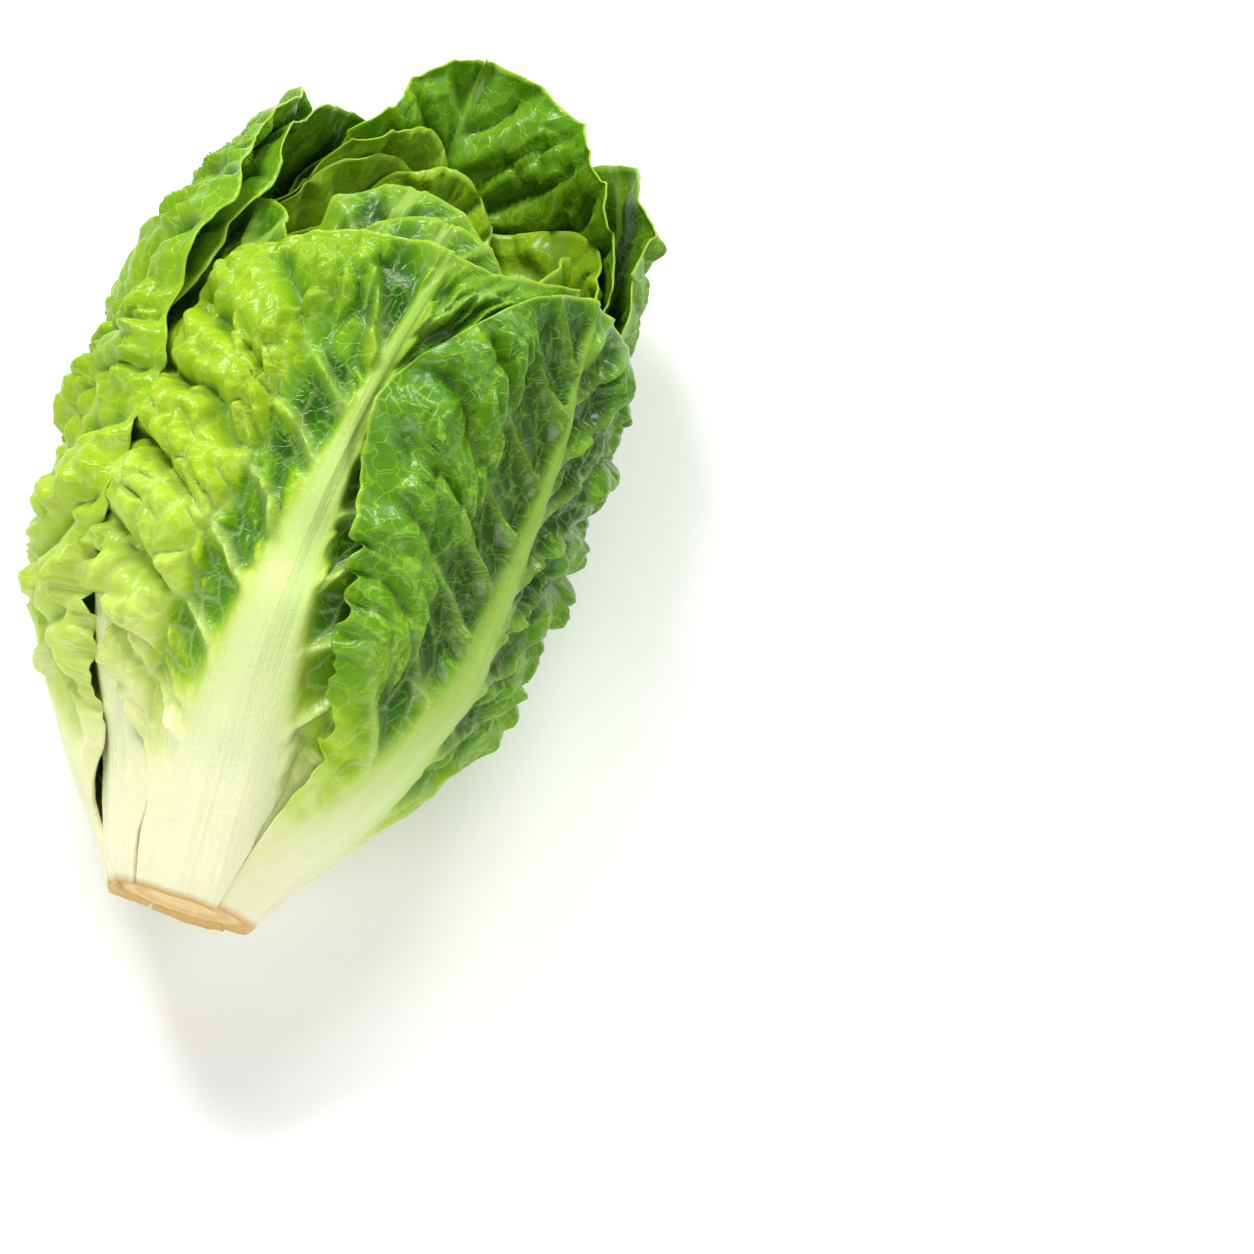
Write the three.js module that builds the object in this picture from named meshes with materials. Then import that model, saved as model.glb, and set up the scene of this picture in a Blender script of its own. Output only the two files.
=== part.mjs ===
// A whole little gem lettuce head, lying on its side as it was cut.
// Units are millimetres. +Z is up, +Y runs from the cut butt to the leaf tips, and the origin is
// on the floor under the middle of the head.
//
// The head is a stack of nested shells round one axis. Each leaf lies in its own shell, `depth`
// millimetres inside the head's outer envelope, so leaves overlap like tiles and never meet.
// A leaf is placed by azimuth (degrees round the axis, 0 on top, positive to +X) and by station
// (millimetres along the axis from the cut butt).

import * as THREE from "three";

// ---- driving dimensions -----------------------------------------------------------------------

const TILT_DEG = 8; // the butt hangs lower than the tips
const FLOOR_SINK = 5; // how far the round head would reach below the floor if leaves were stiff
const SQUASH_HEIGHT = 22; // leaves below this height above the floor give way
const FLAT_DEPTH = 0.8; // the lowest leaf is pressed flat by this much
const PRESSED_THICKNESS = 0.35; // what is left of the blade there at the least

const BLADE_THICKNESS = 0.9;
const RIB_EXTRA = 1.1; // added to the blade along the midrib at the leaf's base
const RIB_HALF_WIDTH = 6.5;
const RIB_TAPER = 0.7; // how soon the rib thins towards the tip: 1 is an even taper
const STEM_GAP = 0.35; // between the stem and a leaf's base
const STEM_SIDES = 20;
const STEM_TIP = 0.8; // height of the blunt cone on top of the stem
const STALKS_PART = [2, 26]; // stations between which leaf stalks leave the butt's ring for their shells
const LIFT_POWER = 4; // keeps the lift near the margin
const ROW_POWER = 0.9; // spreads a leaf's rows a little wider apart near its base

// Outer envelope of the head: [station, radius], and the sideways bend of its axis.
const HEAD_LENGTH = 166;
const ENVELOPE = [
  [0, 13.6], [8, 18.8], [18, 26.8], [30, 35], [43, 41.6], [55, 44.8], [72, 46.4], [90, 47],
  [108, 45.6], [122, 43], [133, 39.8], [142, 35], [150, 29], [158, 22.5], [HEAD_LENGTH, 13.5],
];
const AXIS_BEND = [[0, 0], [60, -0.8], [90, 0.2], [110, 1.8], [133, 5.2], [150, 7.4], [166, 7.6]];
const STEM = [[0, 10.9], [8, 10.3], [20, 8.6], [30, 6.6], [38, 4.2], [43, 1.8]];

// Half-width of an ordinary leaf against its place from base to tip, as shares of its widest.
const PLAIN_OUTLINE = [[0, 0.5], [0.12, 0.5], [0.35, 0.8], [0.6, 1], [0.85, 0.95], [1, 0.72]];
const LEVEL = [[0, 0], [1, 0]]; // a margin that keeps to its shell

// ---- helpers ----------------------------------------------------------------------------------

// Smooth curve through [x, y] points that never overshoots them (monotone cubic).
function curve(points, x) {
  const last = points.length - 1;
  if (x <= points[0][0]) return points[0][1];
  if (x >= points[last][0]) return points[last][1];
  let i = 0;
  while (x > points[i + 1][0]) i += 1;
  const slope = (k) => (points[k + 1][1] - points[k][1]) / (points[k + 1][0] - points[k][0]);
  const tangent = (k) => {
    if (k === 0) return slope(0);
    if (k === last) return slope(last - 1);
    const before = slope(k - 1);
    const after = slope(k);
    return before * after <= 0 ? 0 : (2 * before * after) / (before + after);
  };
  const width = points[i + 1][0] - points[i][0];
  const t = (x - points[i][0]) / width;
  const h00 = (1 + 2 * t) * (1 - t) ** 2;
  const h10 = t * (1 - t) ** 2;
  const h01 = t * t * (3 - 2 * t);
  const h11 = t * t * (t - 1);
  return (
    h00 * points[i][1] + h10 * width * tangent(i) + h01 * points[i + 1][1] + h11 * width * tangent(i + 1)
  );
}

function smoothstep(low, high, x) {
  const t = Math.min(1, Math.max(0, (x - low) / (high - low)));
  return t * t * (3 - 2 * t);
}

const radians = THREE.MathUtils.degToRad;
const TILT = radians(TILT_DEG);

// Lowest point of the tilted envelope, which sets how high the axis lies.
const LOWEST = Math.min(
  ...Array.from(
    { length: HEAD_LENGTH + 1 },
    (_, s) => s * Math.sin(TILT) - curve(ENVELOPE, s) * Math.cos(TILT),
  ),
);

// From the head's own axes (x right, station along, z up) to the floor: tilt, lift, and let the
// leaves near the floor give way. Order from low to high is kept, so leaves stay apart.
function layDown(x, station, z) {
  const y = station * Math.cos(TILT) - z * Math.sin(TILT);
  const height = station * Math.sin(TILT) + z * Math.cos(TILT) - LOWEST - FLOOR_SINK;
  const give = Math.max(0, SQUASH_HEIGHT - height) / (SQUASH_HEIGHT + FLOOR_SINK);
  return [x, y, height + (FLOOR_SINK - FLAT_DEPTH) * give ** 3];
}

// ---- the stem ---------------------------------------------------------------------------------

function stemGeometry() {
  const outline = [new THREE.Vector2(0, 0), ...STEM.map(([s, r]) => new THREE.Vector2(r, s))];
  const [tip] = STEM.slice(-1);
  outline.push(new THREE.Vector2(0, tip[0] + STEM_TIP));
  const geometry = new THREE.LatheGeometry(outline, STEM_SIDES);
  const position = geometry.attributes.position;
  for (let i = 0; i < position.count; i += 1) {
    position.setXYZ(i, ...layDown(position.getX(i), position.getY(i), position.getZ(i)));
  }
  return geometry;
}

// ---- a leaf -----------------------------------------------------------------------------------

// Where a leaf's shell leaves the stem: the first station with room for the leaf.
function baseStation(leaf) {
  const step = 0.25;
  const room = (at) => shellRadius(leaf, at) - leaf.thickAtBase / 2 - curve(STEM, at) - STEM_GAP;
  let station = 0;
  while (room(station) < 0) station += step;
  return station;
}

// Radius of a leaf's shell at a station, before its own flare.
function shellRadius(leaf, station) {
  const sunk = leaf.baseDepth + (1 - leaf.baseDepth) * smoothstep(...STALKS_PART, station);
  return curve(ENVELOPE, station) - leaf.depth * sunk - leaf.thickAtBase / 2;
}

// Half-width in degrees on one side of the rib.
function halfWidth(leaf, side, share, station) {
  const own = side < 0 ? leaf.left : leaf.right;
  return own ? curve(own, station) : leaf.width * curve(PLAIN_OUTLINE, share);
}

// Middle surface of a leaf: across from -1 to 1, share from 0 at the base to 1 at the tip. Rows
// of the leaf bend down towards the margins, which rounds its top.
function leafPoint(leaf, across, share) {
  const half = Math.abs(across);
  const side = across < 0 ? 0 : 1;
  const ribStation = leaf.base + (leaf.tip - leaf.base) * share;
  const drop = leaf.drop[side] * share ** 2;
  const station = ribStation - drop * half ** leaf.shoulder;
  const width = radians(halfWidth(leaf, across, share, ribStation - drop));
  const angle = radians(leaf.azimuth + leaf.drift * share ** 2) + across * width;
  const lift = curve(leaf.lift[side], station) * half ** LIFT_POWER;
  const opening = leaf.open * smoothstep(leaf.openFrom, leaf.tip, station);
  const radius = shellRadius(leaf, station) + lift + opening;
  return { station, radius, angle, lateral: half * width * radius };
}

function leafThickness(leaf, lateral, share) {
  const rib = Math.exp(-((lateral / RIB_HALF_WIDTH) ** 2));
  return BLADE_THICKNESS + RIB_EXTRA * rib * (1 - share) ** RIB_TAPER;
}

function leafGeometry(leaf) {
  const { columns, rows } = leaf;
  const vertices = [];
  const sides = [1, -1]; // outer face, then inner face
  for (const side of sides) {
    for (let j = 0; j <= rows; j += 1) {
      const share = (j / rows) ** ROW_POWER;
      for (let i = 0; i <= columns; i += 1) {
        const p = leafPoint(leaf, (2 * i) / columns - 1, share);
        const r = p.radius + (side * leafThickness(leaf, p.lateral, share)) / 2;
        const [x, y, z] = layDown(
          curve(AXIS_BEND, p.station) + r * Math.sin(p.angle),
          p.station,
          r * Math.cos(p.angle),
        );
        vertices.push(x, y, Math.max(z, side > 0 ? 0 : PRESSED_THICKNESS));
      }
    }
  }
  const width = columns + 1;
  const inner = width * (rows + 1);
  const faces = [];
  const quad = (a, b, c, d) => faces.push(a, b, c, a, c, d);
  for (let j = 0; j < rows; j += 1) {
    for (let i = 0; i < columns; i += 1) {
      const a = j * width + i;
      quad(a, a + 1, a + 1 + width, a + width);
      quad(inner + a, inner + a + width, inner + a + 1 + width, inner + a + 1);
    }
  }
  for (let i = 0; i < columns; i += 1) {
    const top = rows * width + i;
    quad(i, inner + i, inner + i + 1, i + 1);
    quad(top, top + 1, inner + top + 1, inner + top);
  }
  for (let j = 0; j < rows; j += 1) {
    const left = j * width;
    const right = left + columns;
    quad(left, left + width, inner + left + width, inner + left);
    quad(right, inner + right, inner + right + width, right + width);
  }
  const geometry = new THREE.BufferGeometry();
  geometry.setAttribute("position", new THREE.Float32BufferAttribute(vertices, 3));
  geometry.setIndex(faces);
  geometry.computeVertexNormals();
  return geometry;
}

// ---- the leaves -------------------------------------------------------------------------------

// baseDepth is the share of the depth that is left at the butt, where the outer leaf stalks stand
// side by side. drop is how far the top margin falls from the rib to each side, and shoulder how
// squarely. lift is how far each side margin stands off its shell, [station, millimetres]. open is
// how far the tip leans outwards, from the station openFrom. left and right are half-width
// outlines, [station, degrees].
const LEAVES = [
  {
    name: "under_leaf", azimuth: 163, depth: 0, baseDepth: 0, tip: 113, drop: [12, 12],
    left: [[0, 12], [14, 14], [27, 24], [45, 40], [70, 48], [101, 46]],
    right: [[0, 47], [14, 46], [27, 44], [45, 47], [70, 48], [101, 42]],
    columns: 16, rows: 17,
  },
  {
    name: "right_wrapper_leaf", azimuth: 64, depth: 0, baseDepth: 0, tip: 120.5, drift: -5,
    drop: [20, 12],
    left: [[0, 30], [8, 29], [14, 29], [22, 28], [45, 36], [66, 43], [84, 48], [97, 42], [100, 38]],
    right: [[0, 29], [14, 28], [27, 32], [45, 42], [60, 46], [80, 47], [100, 43], [110, 36]],
  },
  {
    name: "left_wrapper_leaf", azimuth: -105, depth: 0, baseDepth: 0, tip: 146, drift: 15,
    drop: [12, 8],
    lift: [LEVEL, [[14, 0], [24, -3], [38, -4.8], [50, -4], [60, -2.2], [85, -1.5], [110, 1], [130, 2]]],
    left: [[0, 41], [20, 40], [45, 40], [70, 42], [100, 43], [125, 42], [134, 30]],
    right: [[0, 21], [14, 23], [25, 37], [52, 47], [60, 57], [80, 59], [102, 54], [117, 54], [138, 33]],
  },
  {
    name: "right_back_leaf", azimuth: 124, depth: 3.2, baseDepth: 0, tip: 155, drift: 4,
    drop: [22, 8], open: 6, openFrom: 127,
    left: [[0, 29], [14, 28], [30, 30], [60, 40], [100, 44], [128, 42]],
    right: [[0, 24], [14, 24], [30, 30], [60, 38], [100, 42], [142, 40]],
  },
  {
    name: "left_back_leaf", azimuth: -132, depth: 3.2, tip: 149, drift: 8, drop: [10, 14],
    left: [[0, 24], [30, 36], [60, 44], [100, 44], [137, 36]],
    right: [[0, 24], [30, 31], [60, 40], [85, 64], [105, 82], [125, 82], [135, 68]],
  },
  {
    name: "front_leaf", azimuth: 2, depth: 4.8, baseDepth: 0, tip: 118.5, drift: 11, drop: [13, -4],
    left: [[0, 33], [8, 31], [17, 24], [28, 34], [44, 48], [56, 54], [75, 57], [92, 57], [105, 54]],
    right: [[0, 29], [8, 31], [12, 35], [18, 41], [32, 45], [48, 48], [60, 50], [100, 48], [122, 44]],
  },
  {
    name: "tall_back_leaf", azimuth: 190, depth: 6.6, tip: 166, drift: 14, drop: [18, 18],
    shoulder: 3, open: 9, openFrom: 150, columns: 16,
    left: [[0, 20], [30, 30], [60, 60], [100, 90], [125, 106], [151, 103]],
    right: [[0, 20], [30, 30], [60, 44], [100, 48], [125, 48], [151, 48]],
  },
  {
    name: "left_inner_leaf", azimuth: -58, depth: 8, baseDepth: 0, tip: 121.5, drift: 12,
    drop: [12, 9],
    left: [[0, 22], [8, 22], [12, 27], [18, 39], [40, 46], [80, 50], [110, 40]],
    right: [[0, 25], [8, 27], [12, 31], [18, 40], [40, 46], [80, 35], [112, 18]],
  },
  {
    name: "right_inner_leaf", azimuth: 138, depth: 8.4, tip: 141, drop: [20, 4],
    left: [[0, 30], [40, 50], [80, 60], [121, 56]],
    right: [[0, 30], [40, 40], [80, 44], [136, 42]],
  },
  {
    name: "left_tip_leaf", azimuth: -138, depth: 9.9, tip: 151, drop: [9, 6], width: 42,
  },
  {
    name: "front_inner_leaf", azimuth: 13, depth: 10.3, tip: 125, drop: [7, 7], width: 34,
  },
  {
    name: "left_cupped_leaf", azimuth: -132, depth: 12.1, tip: 144, drop: [14, 12],
    left: [[0, 30], [60, 46], [110, 48], [130, 42]],
    right: [[0, 30], [60, 44], [110, 40], [128, 36]],
  },
  {
    name: "front_cupped_leaf", azimuth: -4, depth: 12.4, tip: 130.5, drop: [5, 9],
    left: [[0, 20], [60, 30], [100, 26], [126, 22]],
    right: [[0, 20], [60, 40], [100, 42], [123, 36]],
  },
  {
    name: "back_inner_leaf", azimuth: 195, depth: 14, tip: 145.5, drop: [9, 4], width: 42,
  },
];

// The heart: ever shorter leaves, each turned by the golden angle and one shell farther in.
const HEART_COUNT = 12;
const HEART = {
  firstAzimuth: 96, azimuthStep: 137.5, firstDepth: 15.8, depthStep: 1.55,
  firstTip: 132, tipStep: 3.2, width: 62, columns: 6, rows: 8,
};

const heartLeaves = Array.from({ length: HEART_COUNT }, (_, k) => ({
  name: `heart_leaf_${String(k + 1).padStart(2, "0")}`,
  azimuth: HEART.firstAzimuth + k * HEART.azimuthStep,
  depth: HEART.firstDepth + k * HEART.depthStep,
  tip: HEART.firstTip - k * HEART.tipStep,
  width: HEART.width,
  columns: HEART.columns,
  rows: HEART.rows,
}));

const COMMON = {
  drift: 0, open: 0, openFrom: 0, lift: [LEVEL, LEVEL], drop: [16, 16], shoulder: 2.2, width: 50,
  baseDepth: 1, columns: 12, rows: 14, thickAtBase: BLADE_THICKNESS + RIB_EXTRA,
};

const GREENS = { outer: 0x5f9a1f, heart: 0xd8e27a, stem: 0xf0e8c4 };

function material(colour, roughness) {
  return new THREE.MeshStandardMaterial({ color: colour, roughness, metalness: 0 });
}

function leafMesh(given, colour) {
  const leaf = { ...COMMON, ...given };
  leaf.base = baseStation(leaf);
  const mesh = new THREE.Mesh(leafGeometry(leaf), material(colour, 0.4));
  mesh.name = leaf.name;
  return mesh;
}

const head = new THREE.Group();
head.name = "little_gem_lettuce";
const stem = new THREE.Mesh(stemGeometry(), material(GREENS.stem, 0.6));
stem.name = "stem";
head.add(stem);
for (const leaf of LEAVES) head.add(leafMesh(leaf, GREENS.outer));
for (const leaf of heartLeaves) head.add(leafMesh(leaf, GREENS.heart));

// The origin goes under the middle of the head.
const box = new THREE.Box3().setFromObject(head);
const centre = box.getCenter(new THREE.Vector3());
for (const mesh of head.children) mesh.position.set(-centre.x, -centre.y, -box.min.z);

export default head;
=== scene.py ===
"""Looks of a whole little gem lettuce head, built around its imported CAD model.

The head is a stack of nested shells round one axis, and each leaf lies in its own shell. The
same few driving dimensions place the CAD leaves, so each detailed leaf here follows its CAD leaf.
Only some margins of the left wrapper, front and left inner leaves are up to a few millimetres
wider or deeper. Lengths are millimetres until a mesh is made, azimuths are degrees round the
head's axis (0 faces up, positive to +X), and stations are millimetres along it from the butt.
"""

import math

import bpy
import numpy as np
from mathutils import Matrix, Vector


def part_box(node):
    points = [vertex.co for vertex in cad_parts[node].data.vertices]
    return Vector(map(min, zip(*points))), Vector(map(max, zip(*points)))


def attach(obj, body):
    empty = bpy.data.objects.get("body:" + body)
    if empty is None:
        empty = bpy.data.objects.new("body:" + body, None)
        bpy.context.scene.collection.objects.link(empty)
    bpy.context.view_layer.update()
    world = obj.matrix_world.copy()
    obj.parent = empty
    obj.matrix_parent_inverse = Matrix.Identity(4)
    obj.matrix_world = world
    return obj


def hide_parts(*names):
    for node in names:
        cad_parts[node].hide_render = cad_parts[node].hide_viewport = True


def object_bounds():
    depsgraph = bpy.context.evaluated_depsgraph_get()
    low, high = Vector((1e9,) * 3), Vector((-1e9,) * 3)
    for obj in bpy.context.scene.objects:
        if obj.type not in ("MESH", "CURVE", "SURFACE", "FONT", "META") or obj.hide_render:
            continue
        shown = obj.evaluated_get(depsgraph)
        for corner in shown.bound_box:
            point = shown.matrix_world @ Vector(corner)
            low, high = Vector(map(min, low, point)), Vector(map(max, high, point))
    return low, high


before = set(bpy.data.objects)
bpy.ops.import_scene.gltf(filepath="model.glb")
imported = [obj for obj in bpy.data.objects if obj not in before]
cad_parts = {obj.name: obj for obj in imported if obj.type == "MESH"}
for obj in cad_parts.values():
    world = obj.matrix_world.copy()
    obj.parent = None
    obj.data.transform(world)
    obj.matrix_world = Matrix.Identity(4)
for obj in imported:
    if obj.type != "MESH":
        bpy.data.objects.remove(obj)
CAD_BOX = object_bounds()
MM = 0.001

# ---- driving dimensions, as in the CAD source --------------------------------------------------

TILT = math.radians(8)
FLOOR_SINK = 5.0
SQUASH_HEIGHT = 22.0
FLAT_DEPTH = 0.8
BLADE = 0.9
RIB_EXTRA = 1.1
STEM_GAP = 0.35

ENVELOPE = [
    (0, 13.6), (8, 18.8), (18, 26.8), (30, 35), (43, 41.6), (55, 44.8), (72, 46.4), (90, 47),
    (108, 45.6), (122, 43), (133, 39.8), (142, 35), (150, 29), (158, 22.5), (166, 13.5),
]
AXIS_BEND = [(0, 0), (60, -0.8), (90, 0.2), (110, 1.8), (133, 5.2), (150, 7.4), (166, 7.6)]
STEM = [(0, 10.9), (8, 10.3), (20, 8.6), (30, 6.6), (38, 4.2), (43, 1.8)]
PLAIN_OUTLINE = [(0, 0.5), (0.12, 0.5), (0.35, 0.8), (0.6, 1), (0.85, 0.95), (1, 0.72)]


def curve(points, x):
    """Smooth curve through (x, y) points that never overshoots them (monotone cubic)."""
    px, py = np.array(points, float).T
    x = np.clip(np.asarray(x, float), px[0], px[-1])
    slope = np.diff(py) / np.diff(px)
    product = slope[:-1] * slope[1:]
    total = slope[:-1] + slope[1:]
    inner = np.where(product > 0, 2 * product / np.where(product > 0, total, 1), 0)
    tangent = np.concatenate([slope[:1], inner, slope[-1:]])
    i = np.clip(np.searchsorted(px, x, side="left") - 1, 0, len(px) - 2)
    width = px[i + 1] - px[i]
    t = (x - px[i]) / width
    return (
        (1 + 2 * t) * (1 - t) ** 2 * py[i]
        + t * (1 - t) ** 2 * width * tangent[i]
        + t * t * (3 - 2 * t) * py[i + 1]
        + t * t * (t - 1) * width * tangent[i + 1]
    )


def smoothstep(low, high, x):
    t = np.clip((np.asarray(x, float) - low) / (high - low), 0, 1)
    return t * t * (3 - 2 * t)


STATIONS = np.arange(167)
LOWEST = (STATIONS * math.sin(TILT) - curve(ENVELOPE, STATIONS) * math.cos(TILT)).min()


def lay_down(x, station, z):
    """From the head's own axes to the floor: tilt, lift, and leaves near the floor give way."""
    y = station * math.cos(TILT) - z * math.sin(TILT)
    height = station * math.sin(TILT) + z * math.cos(TILT) - LOWEST - FLOOR_SINK
    give = np.maximum(0, SQUASH_HEIGHT - height) / (SQUASH_HEIGHT + FLOOR_SINK)
    return np.stack([x, y, height + (FLOOR_SINK - FLAT_DEPTH) * give**3], -1)


def stem_ring(sides):
    """Points of the stem's surface, as the CAD stem has them."""
    turn = np.linspace(0, 2 * math.pi, sides, endpoint=False)
    station, radius = np.array([*STEM, (STEM[-1][0] + 0.8, 0)], float).T
    x = radius[:, None] * np.sin(turn)
    z = radius[:, None] * np.cos(turn)
    return lay_down(x, np.broadcast_to(station[:, None], x.shape), z)


# The CAD frame's origin lies under the middle of the head: the stem's box tells where.
STEM_LOW = np.array(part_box("stem")[0]) / MM
ORIGIN = stem_ring(20).reshape(-1, 3).min(0) - STEM_LOW

# ---- camera, floor and lights ------------------------------------------------------------------

VIEW_AZIMUTH = math.radians(18)
VIEW_ELEVATION = math.radians(70)
LENS = 250.0
FRAME_WIDTH = 0.2232  # metres across the picture at the head's distance
# The head stands left of and above the picture's middle, in metres.
HEAD_LEFT_BY = 0.0529
HEAD_ABOVE_BY = 0.0288


def look_from(azimuth, elevation):
    """Unit vectors from the scene to the camera, to its right and up in its picture."""
    back = Vector(
        (
            math.sin(azimuth) * math.cos(elevation),
            -math.cos(azimuth) * math.cos(elevation),
            math.sin(elevation),
        )
    )
    right = Vector((math.cos(azimuth), math.sin(azimuth), 0))
    return back, right, back.cross(right)


def make_camera():
    data = bpy.data.cameras.new("camera")
    data.lens = LENS
    camera = bpy.data.objects.new("camera", data)
    bpy.context.scene.collection.objects.link(camera)
    back, right, up = look_from(VIEW_AZIMUTH, VIEW_ELEVATION)
    low, high = CAD_BOX
    middle = (low + high) / 2
    target = middle + right * HEAD_LEFT_BY - up * HEAD_ABOVE_BY
    distance = FRAME_WIDTH / data.sensor_width * data.lens
    camera.location = target + back * distance
    camera.rotation_mode = "QUATERNION"
    camera.rotation_quaternion = (-back).to_track_quat("-Z", "Y")
    data.clip_start = 0.01
    data.clip_end = 20
    bpy.context.scene.camera = camera


FLOOR_REACH = 3.0  # metres from the middle to each side
FLOOR_COLOUR = (0.95, 0.95, 0.945, 1)


def make_floor():
    reach = FLOOR_REACH
    corners = [(-reach, -reach, 0), (reach, -reach, 0), (reach, reach, 0), (-reach, reach, 0)]
    mesh = bpy.data.meshes.new("floor")
    mesh.from_pydata(corners, [], [(0, 1, 2, 3)])
    floor = bpy.data.objects.new("floor", mesh)
    bpy.context.scene.collection.objects.link(floor)
    paper = bpy.data.materials.new("floor")
    paper.use_nodes = True
    shader = paper.node_tree.nodes["Principled BSDF"]
    shader.inputs["Base Color"].default_value = FLOOR_COLOUR
    shader.inputs["Roughness"].default_value = 0.85
    mesh.materials.append(paper)


# Each light's name, place and size in metres, and power in watts.
LIGHTS = [
    ("key", (-0.4, 0.45, 0.8), (0.32, 0.32), 7.4),
    ("top", (0.15, 0.7, 0.7), (0.3, 0.3), 4.4),
    ("fill", (0.75, 0.1, 0.7), (0.6, 0.6), 2.8),
    ("front", (-0.1, -0.8, 0.6), (0.7, 0.4), 4.4),
]
LIGHT_AIM = (0, 0, 0.04)
SKY_STRENGTH = 0.34


def add_light(name, place, size, power):
    data = bpy.data.lights.new(name, "AREA")
    data.shape = "RECTANGLE"
    data.size, data.size_y = size
    data.energy = power
    light = bpy.data.objects.new(name, data)
    bpy.context.scene.collection.objects.link(light)
    light.location = place
    direction = Vector(LIGHT_AIM) - Vector(place)
    light.rotation_mode = "QUATERNION"
    light.rotation_quaternion = direction.to_track_quat("-Z", "Y")


def make_lights():
    for light in LIGHTS:
        add_light(*light)
    world = bpy.data.worlds.new("world")
    world.use_nodes = True
    sky = world.node_tree.nodes["Background"]
    sky.inputs["Color"].default_value = (1, 1, 1, 1)
    sky.inputs["Strength"].default_value = SKY_STRENGTH
    bpy.context.scene.world = world
    bpy.context.scene.view_settings.view_transform = "Standard"


# ---- patterns: value noise and cell borders, seeded by their own coordinates ---------------------


def hashed(ix, iy, seed):
    """A number from 0 to 1 for each whole-numbered cell."""
    n = (ix.astype(np.int64) * 374761393 + iy.astype(np.int64) * 668265263 + seed * 1274126177)
    n = (n ^ (n >> 13)) * 1274126177 & 0x7FFFFFFF
    n = n ^ (n >> 16)
    return (n & 0xFFFFFF) / 0xFFFFFF


def noise(x, y, seed):
    """Smooth noise from -1 to 1, with features about 1 unit across."""
    ix, iy = np.floor(x), np.floor(y)
    fx, fy = x - ix, y - iy
    sx, sy = (f * f * f * (f * (f * 6 - 15) + 10) for f in (fx, fy))
    low = hashed(ix, iy, seed) * (1 - sx) + hashed(ix + 1, iy, seed) * sx
    high = hashed(ix, iy + 1, seed) * (1 - sx) + hashed(ix + 1, iy + 1, seed) * sx
    return 2 * (low * (1 - sy) + high * sy) - 1


def cells(x, y, seed, jitter=0.85):
    """Distance to the nearest border between cells about 1 unit across, and each cell's own number."""
    ix, iy = np.floor(x), np.floor(y)
    best = np.full(x.shape, 9.0)
    near_x, near_y, own = (np.zeros(x.shape) for _ in range(3))
    offsets = [(a, b) for a in (-1, 0, 1) for b in (-1, 0, 1)]
    seeds = {}
    for a, b in [(a, b) for a in range(-2, 3) for b in range(-2, 3)]:
        cx, cy = ix + a, iy + b
        seeds[a, b] = (
            cx + 0.5 + jitter * (hashed(cx, cy, seed) - 0.5) - x,
            cy + 0.5 + jitter * (hashed(cx, cy, seed + 7) - 0.5) - y,
        )
    for a, b in offsets:
        dx, dy = seeds[a, b]
        d = dx * dx + dy * dy
        closer = d < best
        best = np.where(closer, d, best)
        near_x, near_y = np.where(closer, dx, near_x), np.where(closer, dy, near_y)
        own = np.where(closer, hashed(ix + a, iy + b, seed + 13), own)
    border = np.full(x.shape, 9.0)
    for dx, dy in seeds.values():
        apart_x, apart_y = dx - near_x, dy - near_y
        apart = np.hypot(apart_x, apart_y)
        reach = ((near_x + dx) * apart_x + (near_y + dy) * apart_y) / 2 / np.maximum(apart, 1e-6)
        border = np.where(apart > 1e-5, np.minimum(border, reach), border)
    return border, own


def dome(distance, width):
    """A rounded pillow: 0 on the border, 1 from width inwards."""
    t = np.clip(distance / width, 0, 1)
    return 1 - (1 - t) ** 2


# ---- the shape of a leaf -----------------------------------------------------------------------


def shell_radius(leaf, station):
    depth = leaf["depth"] * (
        leaf["base_depth"] + (1 - leaf["base_depth"]) * smoothstep(2, 26, station)
    )
    return curve(ENVELOPE, station) - depth - (BLADE + RIB_EXTRA) / 2


def base_station(leaf):
    stations = np.arange(0, 60, 0.25)
    room = shell_radius(leaf, stations) - (BLADE + RIB_EXTRA) / 2 - curve(STEM, stations) - STEM_GAP
    return stations[np.argmax(room >= 0)]


def half_width(leaf, side, share, station):
    own = leaf["left" if side < 0 else "right"]
    return curve(own, station) if own else leaf["width"] * curve(PLAIN_OUTLINE, share)


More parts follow.
